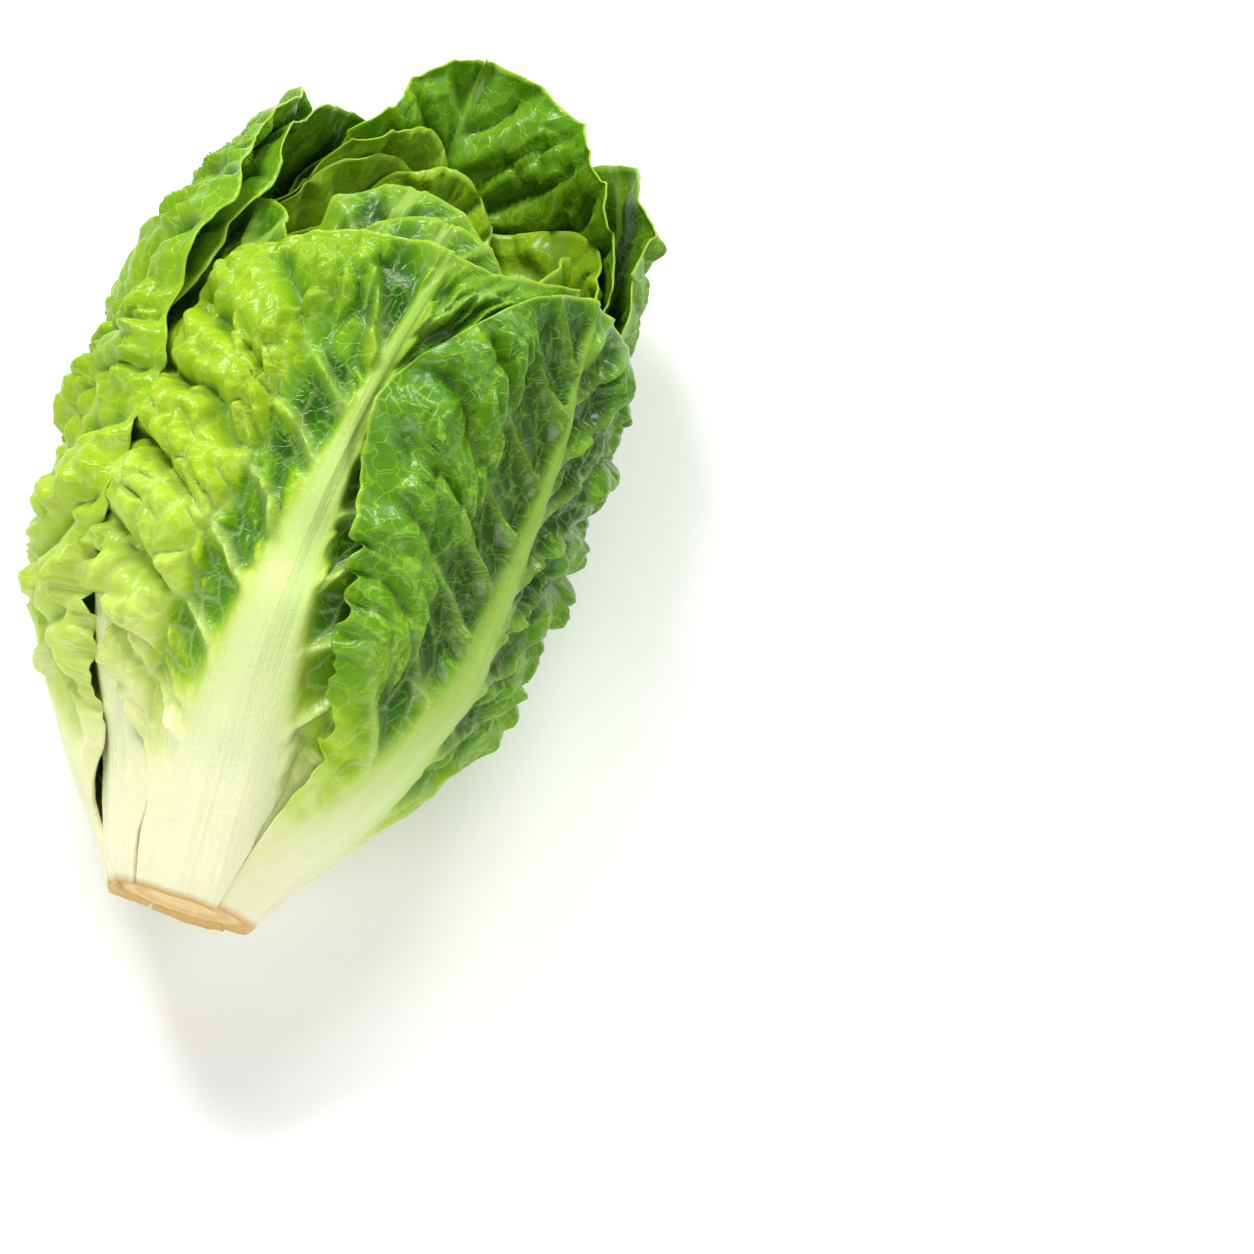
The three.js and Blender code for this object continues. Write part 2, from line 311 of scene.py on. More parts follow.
def leaf_sheet(leaf, columns, rows):
    """The leaf's middle surface as a grid of points, with each point's place on the leaf."""
    across = np.linspace(-1, 1, columns + 1)[None, :]
    share = (np.linspace(0, 1, rows + 1) ** 0.9)[:, None]
    base = base_station(leaf)
    rib_station = base + (leaf["tip"] - base) * share
    drop = np.where(across < 0, leaf["drop"][0], leaf["drop"][1]) * share**2
    station = rib_station - drop * np.abs(across) ** leaf["shoulder"]
    width = np.where(
        across < 0,
        half_width(leaf, -1, share, rib_station - leaf["drop"][0] * share**2),
        half_width(leaf, 1, share, rib_station - leaf["drop"][1] * share**2),
    )
    turn = leaf["azimuth"] + leaf["drift"] * share**2 + across * width
    lift = np.where(across < 0, curve(leaf["lift"][0], station), curve(leaf["lift"][1], station))
    opening = leaf["open"] * smoothstep(leaf["open_from"], leaf["tip"], station)
    radius = shell_radius(leaf, station) + lift * np.abs(across) ** 4 + opening
    angle = np.radians(turn)
    x = curve(AXIS_BEND, station) + radius * np.sin(angle)
    z = radius * np.cos(angle)
    half_mm = np.radians(width) * radius
    shape = x.shape
    return {
        "place": np.stack([x, station, z], -1),
        "across_mm": across * half_mm,
        "along_mm": station - base,
        "station": station,
        "across": np.broadcast_to(across, shape),
        "share": np.broadcast_to(share, shape),
        "turn": np.broadcast_to(turn, shape),
        "to_margin": np.minimum((1 - np.abs(across)) * half_mm, (1 - share) * (leaf["tip"] - base)),
    }


def grid_normals(place):
    """Outward unit normals of a grid of points."""
    along = np.gradient(place, axis=0)
    across = np.gradient(place, axis=1)
    normal = np.cross(across, along)
    return normal / np.maximum(np.linalg.norm(normal, axis=-1, keepdims=True), 1e-9)


def soft_min(a, b, blend=0.35):
    """The lower of a and b, with a rounded change from one to the other."""
    return -blend * np.logaddexp(-a / blend, -b / blend)


OPEN_AIR = 9.0  # millimetres free where no neighbour lies
CLEAR_OUT = 1.1
CLEAR_IN = 1.2
LEAST_OUT = 0.1
LEAST_IN = 0.3


def room_beside(leaf, sheet, way):
    """How far the blade may go out (way 1) or in (way -1) before it meets its neighbours there."""
    room = np.full(sheet["station"].shape, OPEN_AIR)
    for over in LEAVES:
        gap = way * (leaf["depth"] - over["depth"])
        if gap <= 0:
            continue
        base = base_station(over)
        share = np.clip((sheet["station"] - base) / (over["tip"] - base), 0, 1)
        middle = over["azimuth"] + over["drift"] * share**2
        turn = (sheet["turn"] - middle + 180) % 360 - 180
        width = np.where(
            turn < 0,
            half_width(over, -1, share, sheet["station"]),
            half_width(over, 1, share, sheet["station"]),
        )
        across = np.abs(turn) / width
        drop = np.where(turn < 0, over["drop"][0], over["drop"][1])
        top = over["tip"] - drop * np.minimum(across, 1) ** over["shoulder"]
        cover = (1 - smoothstep(1.0, 1.12, across)) * (1 - smoothstep(top, top + 4, sheet["station"]))
        if way > 0:
            free = max(LEAST_OUT, gap - over["room"] - CLEAR_OUT)
        else:
            free = max(LEAST_IN, gap - CLEAR_IN)
        room = np.minimum(room, free + (OPEN_AIR - free) * (1 - cover) ** 2)
    return room


PLEAT, PILLOW, SMALL_PILLOW = 1.5, 0.85, 0.4  # how much each stands out, before "savoy"
PILLOW_LENGTH = 5.6
SMALL_PILLOW_LENGTH = 2.4
FRILL_LENGTH = 6.8


def leaf_relief(leaf, sheet):
    """Millimetres that the blade stands out, and the masks its colour follows, one of them painted shade in
    the pits between blisters.
    """
    seed = leaf["seed"]
    u, y = sheet["across_mm"] - leaf["rib_shift"], sheet["along_mm"]
    side = np.sign(u)
    x = np.abs(u)
    share, station, to_margin = sheet["share"], sheet["station"], sheet["to_margin"]
    wobble = noise(u / 12, y / 12, seed)
    wobble_fine = noise(u / 4.5, y / 4.5, seed + 1)
    rib_width = leaf["rib_width"] * curve(RIB_TAPER, station)

    # Side veins leave the rib at a sharp angle and bend outwards.
    spacing = leaf["vein_spacing"]
    climb = leaf["vein_climb"] * (x - 0.009 * x * x) + 2.6 * wobble + 0.5 * wobble_fine
    strip = (y - climb) / spacing + 0.5 * (side > 0) + 0.2 * noise(y / 19, side * 3.0, seed + 2)
    number = np.floor(strip)
    part = strip - number
    to_vein = np.minimum(part, 1 - part) * spacing * 0.62
    vein_width = 0.45 + 1.5 * np.exp(-x / 10)
    side_vein = np.exp(-((to_vein / vein_width) ** 2)) * np.exp(-x / 26)

    # Between them the blade swells in pleats: deep pits near the rib, pillows farther out.
    swell = dome(np.minimum(part, 1 - part), 0.34) * (0.6 + 0.8 * hashed(number, side, seed + 3))
    sunk = np.exp(-(((x - rib_width - 6) / 6) ** 2))
    pillow_from = rib_width + leaf["pillow_from"]
    proud = smoothstep(pillow_from, pillow_from + 12, x)
    pleat = swell * (1.5 * proud - leaf["pits"] * sunk)

    # Blisters break the pleats up, longer near the rib; smaller ones sit on them.
    stretch = 5.0 + 6.0 * np.exp(-x / 12)
    border, own = cells(
        x / stretch + 0.5 * wobble,
        strip * spacing / PILLOW_LENGTH + 0.3 * wobble_fine + 40 * side,
        seed + 4,
    )
    small_border, small_own = cells(
        u / SMALL_PILLOW_LENGTH + 0.5 * wobble_fine, y / SMALL_PILLOW_LENGTH + 0.4 * wobble, seed + 5
    )
    pillow = dome(border, 0.36) * (2.3 * own - 0.35)
    small_pillow = dome(small_border, 0.42) * (small_own - 0.25)

    smooth_margin = smoothstep(0.5, leaf["margin"], to_margin + 1.5 * wobble_fine)
    off_rib = smoothstep(0.85, 1.7, x / rib_width)
    awake = smoothstep(leaf["calm"] - 8, leaf["calm"] + 14, station + 0.5 * x)
    rough = off_rib * (0.16 + 0.84 * smooth_margin) * awake
    level = leaf["sink"] * (0.2 + 0.8 * proud)
    swelling = PLEAT * pleat + PILLOW * pillow + SMALL_PILLOW * small_pillow
    relief = leaf["savoy"] * rough * (swelling - level)
    relief += leaf["savoy"] * 0.7 * smoothstep(20, 60, station) * wobble
    relief = -soft_min(-relief, np.minimum(leaf["room"], room_beside(leaf, sheet, -1)))
    relief += 0.9 * side_vein * off_rib * smoothstep(6, 26, station)

    # The rib stands proud of the outer face, and flattens into a broad stalk.
    rib = np.exp(-((x / rib_width) ** 2)) * (0.3 + leaf["rib_height"] * (1 - share) ** 0.9)
    facet = 0.6 * noise(u / (0.4 * rib_width + 0.8), y / 70, seed + 6)
    striae = 0.16 * noise(u / 1.6, y / 45, seed + 7)
    stalk = np.exp(-((x / (1.9 * rib_width + 2)) ** 2)) * (1 - 0.5 * share)
    relief += (facet + striae) * stalk

    # Margins wave, and break into frills on the lower half of the leaf.
    phase = 2 * math.pi * y / leaf["ruffle_length"] + 2.5 * noise(y / 13, side, seed + 8)
    relief += leaf["ruffle"] * np.exp(-to_margin / 7) * np.sin(phase) * smoothstep(12, 40, station)
    frilly = np.where(side < 0, leaf["frill"][0], leaf["frill"][1])
    frilly = frilly * smoothstep(18, 32, station) * (1 - smoothstep(48, 74, station))
    curl = 2 * math.pi * (y / FRILL_LENGTH + 0.6 * noise(y / 5, side * 2.0, seed + 9))
    frill = frilly * np.exp(-to_margin / 3.2) * (0.6 + 0.7 * noise(y / 7, side, seed + 10))
    relief += frill * (np.sin(curl) + 0.5 * np.sin(2.3 * curl + u / 2))

    # Under another leaf, blade and rib keep low.
    room = room_beside(leaf, sheet, 1)
    relief = soft_min(relief, room)
    rib *= np.clip(room / 3, 0.1, 1)
    slide = side * frill * 0.55 * np.cos(curl)
    slide = slide + side * 1.1 * (swell - 0.5) * np.exp(-to_margin / 5) * proud
    return {
        "relief": relief,
        "slide": slide,
        "teeth": frilly,
        "rib": rib,
        "vein": np.clip(side_vein * off_rib + 0.6 * rough * np.exp(-((border / 0.06) ** 2)), 0, 1),
        # Painted shade: the pits between pleats and pillows are coloured darker green, and the pillow tops
        # lighter.
        "painted_pit_shade": rough * np.clip(0.5 - 0.45 * pleat - 0.4 * pillow, 0, 1),
        "rib_mask": np.exp(-((x / (1.05 * rib_width)) ** 4)),
    }


def leaf_green(leaf, sheet, relief):
    """How green the blade is, from 0 at the white base to 1 at the dark tip, with painted shade making the
    pits between blisters darker.
    """
    seed = leaf["seed"]
    u, y = sheet["across_mm"], sheet["along_mm"]
    patch = 7 * noise(u / 16, y / 16, seed + 11) + 3 * noise(u / 5, y / 5, seed + 12)
    reach = sheet["station"] + leaf["spread"] * np.abs(u) + patch
    green = curve(leaf["green"], reach)
    awake = smoothstep(0.02, 0.3, green)
    green = green + leaf["lean"] * u / 30
    # Painted shade: the pits between blisters are made greener, which is darker, and the pillow tops stay
    # lighter.
    return np.clip(green + (0.5 * relief["painted_pit_shade"] - 0.05 * relief["vein"]) * awake, 0, 1)


FINE_BLADE = 0.7  # millimetres; thinner towards the margin


def leaf_mesh(leaf):
    columns, rows = leaf["grid"]
    sheet = leaf_sheet(leaf, columns, rows)
    relief = leaf_relief(leaf, sheet)
    # The outline itself is uneven: scallops on the sides and small teeth near the base.
    side = np.sign(sheet["across_mm"])
    y, seed = sheet["along_mm"], leaf["seed"]
    uneven = 1.1 * noise(y / 8, side, seed + 20) + 0.35 * noise(y / 2.6, side, seed + 21)
    teeth = 0.5 * relief["teeth"] * np.abs((y / 2.9 + 0.5 * noise(y / 4, side, seed + 24)) % 1 - 0.5)
    rim = np.exp(-sheet["to_margin"] / 1.6) * smoothstep(10, 20, sheet["station"])
    tangent = np.gradient(sheet["place"], axis=1)
    tangent /= np.maximum(np.linalg.norm(tangent, axis=-1, keepdims=True), 1e-9)
    shift = (uneven + teeth) * side * rim * np.abs(sheet["across"]) ** 6 + relief["slide"]
    place = sheet["place"] + tangent * shift[..., None]
    u = sheet["across_mm"]
    tip_uneven = 1.0 * noise(u / 9, 0 * u + 1.5, seed + 22) + 0.4 * noise(u / 3, 0 * u + 1.5, seed + 23)
    place[..., 1] += tip_uneven * sheet["share"] ** 30
    normal = grid_normals(sheet["place"])
    thin = 0.45 + 0.55 * smoothstep(0, 9, sheet["to_margin"])
    half = (FINE_BLADE / 2 * thin)[..., None]
    stand = relief["relief"][..., None]
    outer = place + normal * (stand + half + relief["rib"][..., None])
    butt = (1 - smoothstep(2, 9, sheet["station"]))[..., None]
    inner = place + normal * (stand - half - 0.35 * relief["rib"][..., None] - 1.1 * butt)
    points = []
    for k, face in enumerate((outer, inner)):
        laid = lay_down(face[..., 0], face[..., 1], face[..., 2]) - ORIGIN
        laid[..., 2] = np.maximum(laid[..., 2], 0.0 if k == 0 else 0.3)
        points.append(laid.reshape(-1, 3) * MM)
    return sheet, relief, np.concatenate(points), (columns, rows)


def closed_grid_faces(columns, rows):
    """Quads of an outer grid, an inner grid and the rim between them."""
    width = columns + 1
    count = width * (rows + 1)
    j, i = np.meshgrid(np.arange(rows), np.arange(columns), indexing="ij")
    a = (j * width + i).ravel()
    outer = np.stack([a, a + 1, a + 1 + width, a + width], 1)
    inner = count + np.stack([a, a + width, a + 1 + width, a + 1], 1)
    i = np.arange(columns)
    top = rows * width + i
    bottom_rim = np.stack([i, count + i, count + i + 1, i + 1], 1)
    top_rim = np.stack([top, top + 1, count + top + 1, count + top], 1)
    left = np.arange(rows) * width
    right = left + columns
    left_rim = np.stack([left, left + width, count + left + width, count + left], 1)
    right_rim = np.stack([right, count + right, count + right + width, right + width], 1)
    return np.concatenate([outer, inner, bottom_rim, top_rim, left_rim, right_rim])


def mesh_object(name, points, faces, attributes):
    mesh = bpy.data.meshes.new(name)
    mesh.vertices.add(len(points))
    mesh.vertices.foreach_set("co", points.astype(np.float32).ravel())
    mesh.loops.add(faces.size)
    mesh.loops.foreach_set("vertex_index", faces.astype(np.int32).ravel())
    mesh.polygons.add(len(faces))
    mesh.polygons.foreach_set("loop_start", np.arange(0, faces.size, 4, dtype=np.int32))
    mesh.update(calc_edges=True)
    mesh.validate()
    mesh.shade_smooth()
    for key, values in attributes.items():
        if values.ndim == 1:
            mesh.attributes.new(key, "FLOAT", "POINT").data.foreach_set(
                "value", values.astype(np.float32)
            )
        else:
            mesh.attributes.new(key, "FLOAT_VECTOR", "POINT").data.foreach_set(
                "vector", values.astype(np.float32).ravel()
            )
    made = bpy.data.objects.new(name, mesh)
    bpy.context.scene.collection.objects.link(made)
    return made


def build_leaf(leaf, finish):
    sheet, relief, points, (columns, rows) = leaf_mesh(leaf)
    green = leaf_green(leaf, sheet, relief)
    edge = (1 - smoothstep(0.1, 0.9, sheet["to_margin"])) * smoothstep(38, 70, sheet["station"])
    twice = lambda a: np.concatenate([a.ravel(), a.ravel()])
    at = np.stack(
        [twice(sheet["across_mm"]), twice(sheet["along_mm"]), np.full(points.shape[0], leaf["seed"])], 1
    )
    attributes = {
        "green": twice(green),
        "vein": twice(relief["vein"]),
        "edge": twice(edge),
        "rib": twice(relief["rib_mask"]),
        "station": twice(sheet["station"]),
        "rib_tone": twice(sheet["station"] / 160 + leaf["rib_tone"] * smoothstep(0, 50, sheet["station"])),
        "leaf_mm": at,
    }
    name = leaf["name"]
    piece = mesh_object("fine_" + name, points, closed_grid_faces(columns, rows), attributes)
    piece.data.materials.append(finish)
    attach(piece, "root")
    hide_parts(name)
    return piece


# ---- materials ---------------------------------------------------------------------------------


class Nodes:
    """Short calls for building a node tree."""

    def __init__(self, name):
        self.material = bpy.data.materials.new(name)
        self.material.use_nodes = True
        self.tree = self.material.node_tree
        self.shader = self.tree.nodes["Principled BSDF"]

    def new(self, kind, **settings):
        node = self.tree.nodes.new(kind)
        for key, value in settings.items():
            setattr(node, key, value)
        return node

    def link(self, source, target):
        self.tree.links.new(source, target)

    def attribute(self, name, output="Fac"):
        return self.new("ShaderNodeAttribute", attribute_name=name).outputs[output]

    def math(self, operation, a, b, clamp=False):
        node = self.new("ShaderNodeMath", operation=operation, use_clamp=clamp)
        for socket, value in zip(node.inputs, (a, b)):
            if isinstance(value, (int, float)):
                socket.default_value = value
            else:
                self.link(value, socket)
        return node.outputs[0]

    def mix(self, factor, a, b, blend="MIX"):
        node = self.new("ShaderNodeMix", data_type="RGBA", blend_type=blend)
        for socket, value in ((node.inputs[0], factor), (node.inputs[6], a), (node.inputs[7], b)):
            if isinstance(value, (int, float)):
                socket.default_value = value
            elif isinstance(value, tuple):
                socket.default_value = (*value, 1)
            else:
                self.link(value, socket)
        return node.outputs[2]

    def ramp(self, factor, stops):
        node = self.new("ShaderNodeValToRGB")
        elements = node.color_ramp.elements
        while len(elements) < len(stops):
            elements.new(0.5)
        for element, (at, colour) in zip(elements, stops):
            element.position = at
            element.color = (*colour, 1)
        self.link(factor, node.inputs[0])
        return node.outputs[0]

    def scaled(self, vector, scale):
        node = self.new("ShaderNodeVectorMath", operation="MULTIPLY")
        self.link(vector, node.inputs[0])
        node.inputs[1].default_value = scale
        return node.outputs[0]


RIB_COLOURS = [
    (0.0, (0.82, 0.81, 0.57)),
    (0.25, (0.72, 0.78, 0.44)),
    (0.45, (0.56, 0.70, 0.27)),
    (0.65, (0.34, 0.51, 0.09)),
    (0.9, (0.22, 0.40, 0.03)),
]
LEAF_COLOURS = [
    (0.0, (0.81, 0.81, 0.55)),
    (0.14, (0.70, 0.77, 0.32)),
    (0.28, (0.51, 0.66, 0.11)),
    (0.44, (0.38, 0.55, 0.015)),
    (0.6, (0.21, 0.41, 0.01)),
    (0.75, (0.11, 0.28, 0.008)),
    (0.88, (0.045, 0.16, 0.006)),
    (1.0, (0.02, 0.08, 0.001)),
]

STEM_COLOURS = [
    (0.0, (0.70, 0.51, 0.22)),
    (0.45, (0.76, 0.58, 0.27)),
    (0.7, (0.62, 0.41, 0.14)),
    (0.85, (0.74, 0.55, 0.25)),
    (1.0, (0.58, 0.34, 0.10)),
]

LEAF_EDGE = (0.34, 0.53, 0.03)
CUT_TAN = (0.64, 0.42, 0.13)


def leaf_material(name):
    n = Nodes(name)
    at = n.attribute("leaf_mm", "Vector")
    green = n.attribute("green")
    network = n.new("ShaderNodeTexVoronoi", feature="DISTANCE_TO_EDGE", voronoi_dimensions="3D")
    warp = n.new("ShaderNodeTexNoise")
    n.link(at, warp.inputs["Vector"])
    warp.inputs["Scale"].default_value = 0.22
    warp.inputs["Detail"].default_value = 2
    bent = n.new("ShaderNodeVectorMath", operation="MULTIPLY_ADD")
    n.link(warp.outputs["Color"], bent.inputs[0])
    bent.inputs[1].default_value = (7, 7, 0)
    n.link(at, bent.inputs[2])
    n.link(n.scaled(bent.outputs[0], (0.3, 0.3, 1)), network.inputs["Vector"])
    network.inputs["Scale"].default_value = 1
    fine_vein = n.ramp(network.outputs["Distance"], [(0.0, (1, 1, 1)), (0.05, (0, 0, 0))])
    speckle = n.new("ShaderNodeTexNoise")
    n.link(at, speckle.inputs["Vector"])
    speckle.inputs["Scale"].default_value = 0.9
    speckle.inputs["Detail"].default_value = 5
    mottled = n.math("ADD", green, n.math("MULTIPLY", n.math("SUBTRACT", speckle.outputs[0], 0.5), 0.09))
    less = n.math("MULTIPLY", n.math("MULTIPLY", fine_vein, green), 0.2)
    shade = n.math("SUBTRACT", mottled, less, clamp=True)
    colour = n.ramp(shade, LEAF_COLOURS)
    # Ribs and side veins are pale, and greener towards the tip.
    rib_colour = n.ramp(n.attribute("rib_tone"), RIB_COLOURS)
    pale = n.mix(n.math("MULTIPLY", n.attribute("vein"), 0.5), colour, rib_colour)
    ribbed = n.mix(n.math("MULTIPLY", n.attribute("rib"), 0.85), pale, rib_colour)
    edge_colour = n.mix(n.math("MULTIPLY", n.attribute("edge"), 0.75), ribbed, LEAF_EDGE)
    # The cut ends of the outer stalks have dried to tan with the butt.
    station = n.attribute("station")
    cut = n.new("ShaderNodeMapRange")
    n.link(station, cut.inputs["Value"])
    cut.inputs["From Min"].default_value = 0.2
    cut.inputs["From Max"].default_value = 1.4
    cut.inputs["To Min"].default_value = 1
    cut.inputs["To Max"].default_value = 0
    tan = n.mix(cut.outputs[0], edge_colour, CUT_TAN)
    n.link(tan, n.shader.inputs["Base Color"])
    rough = n.new("ShaderNodeMapRange")
    n.link(speckle.outputs[0], rough.inputs["Value"])
    rough.inputs["To Min"].default_value = 0.16
    rough.inputs["To Max"].default_value = 0.32
    matte = n.math("ADD", rough.outputs[0], n.math("MULTIPLY", n.attribute("rib"), 0.16))
    n.link(matte, n.shader.inputs["Roughness"])
    n.shader.inputs["Subsurface Weight"].default_value = 0.35
    n.shader.inputs["Subsurface Radius"].default_value = (0.7, 1.0, 0.15)
    n.shader.inputs["Subsurface Scale"].default_value = 0.001
    n.shader.inputs["Specular IOR Level"].default_value = 0.28
    crinkle = n.new("ShaderNodeTexNoise")
    n.link(at, crinkle.inputs["Vector"])
    crinkle.inputs["Scale"].default_value = 0.75
    crinkle.inputs["Detail"].default_value = 3
    grooves = n.new("ShaderNodeTexNoise")
    n.link(n.scaled(at, (1.6, 0.03, 1)), grooves.inputs["Vector"])
    grooves.inputs["Scale"].default_value = 1
    grooves.inputs["Detail"].default_value = 2
    stalk = n.math("MULTIPLY", n.attribute("rib"), n.math("SUBTRACT", grooves.outputs[0], 0.5))
    skin = n.math("ADD", n.math("MULTIPLY", crinkle.outputs[0], 0.5), n.math("MULTIPLY", fine_vein, -0.22))
    height = n.math("ADD", skin, n.math("MULTIPLY", stalk, 1.7))
    bump = n.new("ShaderNodeBump")
    bump.inputs["Strength"].default_value = 0.35
    bump.inputs["Distance"].default_value = 0.0006
    n.link(height, bump.inputs["Height"])
    n.link(bump.outputs[0], n.shader.inputs["Normal"])
    return n.material


def stem_material():
    n = Nodes("stem_flesh")
    grain = n.new("ShaderNodeTexNoise")
    n.link(n.attribute("stem_mm", "Vector"), grain.inputs["Vector"])
    grain.inputs["Scale"].default_value = 0.8
    grain.inputs["Detail"].default_value = 5
    # The cut face is tan, darker in a ring of veins and at its dried rim.
    uneven = n.math("MULTIPLY", n.math("SUBTRACT", grain.outputs[0], 0.5), 0.3)
    rings = n.math("ADD", n.attribute("ring"), uneven)
    colour = n.ramp(rings, STEM_COLOURS)
    n.link(colour, n.shader.inputs["Base Color"])
    n.shader.inputs["Roughness"].default_value = 0.62
    n.shader.inputs["Subsurface Weight"].default_value = 0.2
    n.shader.inputs["Subsurface Scale"].default_value = 0.001
    bump = n.new("ShaderNodeBump")
    bump.inputs["Strength"].default_value = 0.5
    bump.inputs["Distance"].default_value = 0.0004
    n.link(grain.outputs[0], bump.inputs["Height"])
    n.link(bump.outputs[0], n.shader.inputs["Normal"])
    return n.material


STEM_FILL = 0.6  # millimetres wider at the butt than the CAD stem, to fill the ring of stalks


def build_stem():
    """The stem with its rough cut face, which fills the ring of stalks."""
    sides, rings = 120, 26
    turn = np.linspace(0, 2 * math.pi, sides, endpoint=False)[None, :]
    face = np.linspace(0.02, 1, rings)[:, None]
    wall = np.linspace(0, 1, 40)[1:, None]
    side_station = STEM[-1][0] * wall
    fill = STEM_FILL * (1 - smoothstep(0, 12, side_station))
    radius = np.concatenate([(STEM[0][1] + STEM_FILL) * face, curve(STEM, side_station) + fill])
    station = np.concatenate([0 * face, side_station]) + 0 * turn
    ring = np.concatenate([face, np.ones_like(wall)]) + 0 * turn
    radius = radius + 0 * turn
    x, z = radius * np.sin(turn), radius * np.cos(turn)
    rough = 0.16 * noise(x / 1.6, z / 1.6, 501) + 0.10 * noise(x / 0.7, z / 0.7, 502)
    dish = 0.25 * (1 - ring**2) + 0.15 * np.exp(-(((ring - 0.7) / 0.06) ** 2))
    station = station + np.where(np.arange(len(station))[:, None] < rings, 0.25 + rough + dish, 0)
    points = lay_down(x, station, z) - ORIGIN
    count = len(station)
    j, i = np.meshgrid(np.arange(count - 1), np.arange(sides), indexing="ij")
    a, b = j * sides + i, j * sides + (i + 1) % sides
    quads = np.stack([a.ravel(), a.ravel() + sides, b.ravel() + sides, b.ravel()], 1).tolist()
    caps = [list(range(sides)), list(range((count - 1) * sides, count * sides))[::-1]]
    mesh = bpy.data.meshes.new("fine_stem")
    mesh.from_pydata((points.reshape(-1, 3) * MM).tolist(), [], quads + caps)
    mesh.shade_smooth()
    mesh.attributes.new("ring", "FLOAT", "POINT").data.foreach_set("value", ring.ravel().astype(np.float32))
    where = np.stack([x, station, z], -1).reshape(-1, 3)
    mesh.attributes.new("stem_mm", "FLOAT_VECTOR", "POINT").data.foreach_set(
        "vector", where.astype(np.float32).ravel()
    )
    piece = bpy.data.objects.new("fine_stem", mesh)
    bpy.context.scene.collection.objects.link(piece)
    mesh.materials.append(stem_material())
    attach(piece, "root")
    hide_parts("stem")


# ---- the leaves --------------------------------------------------------------------------------

RIB_TAPER = [(0, 1.5), (25, 1.1), (45, 0.74), (65, 0.5), (85, 0.26), (120, 0.12), (160, 0.1)]
BRIGHT = [(0, 0), (22, 0.04), (42, 0.26), (60, 0.43), (95, 0.57), (125, 0.66), (160, 0.72)]
FRESH = [(0, 0), (22, 0.06), (40, 0.3), (60, 0.5), (90, 0.68), (125, 0.78), (160, 0.8)]
TIPS = [(0, 0), (60, 0.25), (100, 0.46), (130, 0.55), (160, 0.62)]
FOOT = [(0, 0), (22, 0.1), (40, 0.4), (60, 0.68), (90, 0.76), (120, 0.8), (160, 0.84)]
DEEP = [(0, 0), (25, 0.08), (50, 0.4), (80, 0.62), (110, 0.7), (135, 0.73), (160, 0.75)]

LEVEL = [(0, 0), (1, 0)]
COMMON = {
    "drift": 0, "open": 0, "open_from": 0, "lift": (LEVEL, LEVEL), "drop": (16, 16), "width": 50,
    "shoulder": 2.2, "room": 1.2, "spread": 0.45, "rib_tone": 0.0, "lean": 0.0, "rib_shift": 0,
    "pillow_from": 6, "base_depth": 1, "left": None, "right": None,
    "savoy": 1.6, "sink": 1.3, "pits": 0.9, "calm": 28, "margin": 7, "rib_width": 9, "rib_height": 0.9,
    "vein_spacing": 12, "vein_climb": 1.15, "ruffle": 0.7, "ruffle_length": 15, "frill": (0.8, 0.8),
    "green": FRESH, "grid": (90, 120),
}

# Leaves whose inner face shows: their blisters stand towards the head's axis.
TIP_LOOK = {
    "green": TIPS, "savoy": -1.1, "pits": 0, "pillow_from": -5, "room": 1.6, "sink": 0.8,
    "margin": 2.5, "ruffle": 1.2,
}

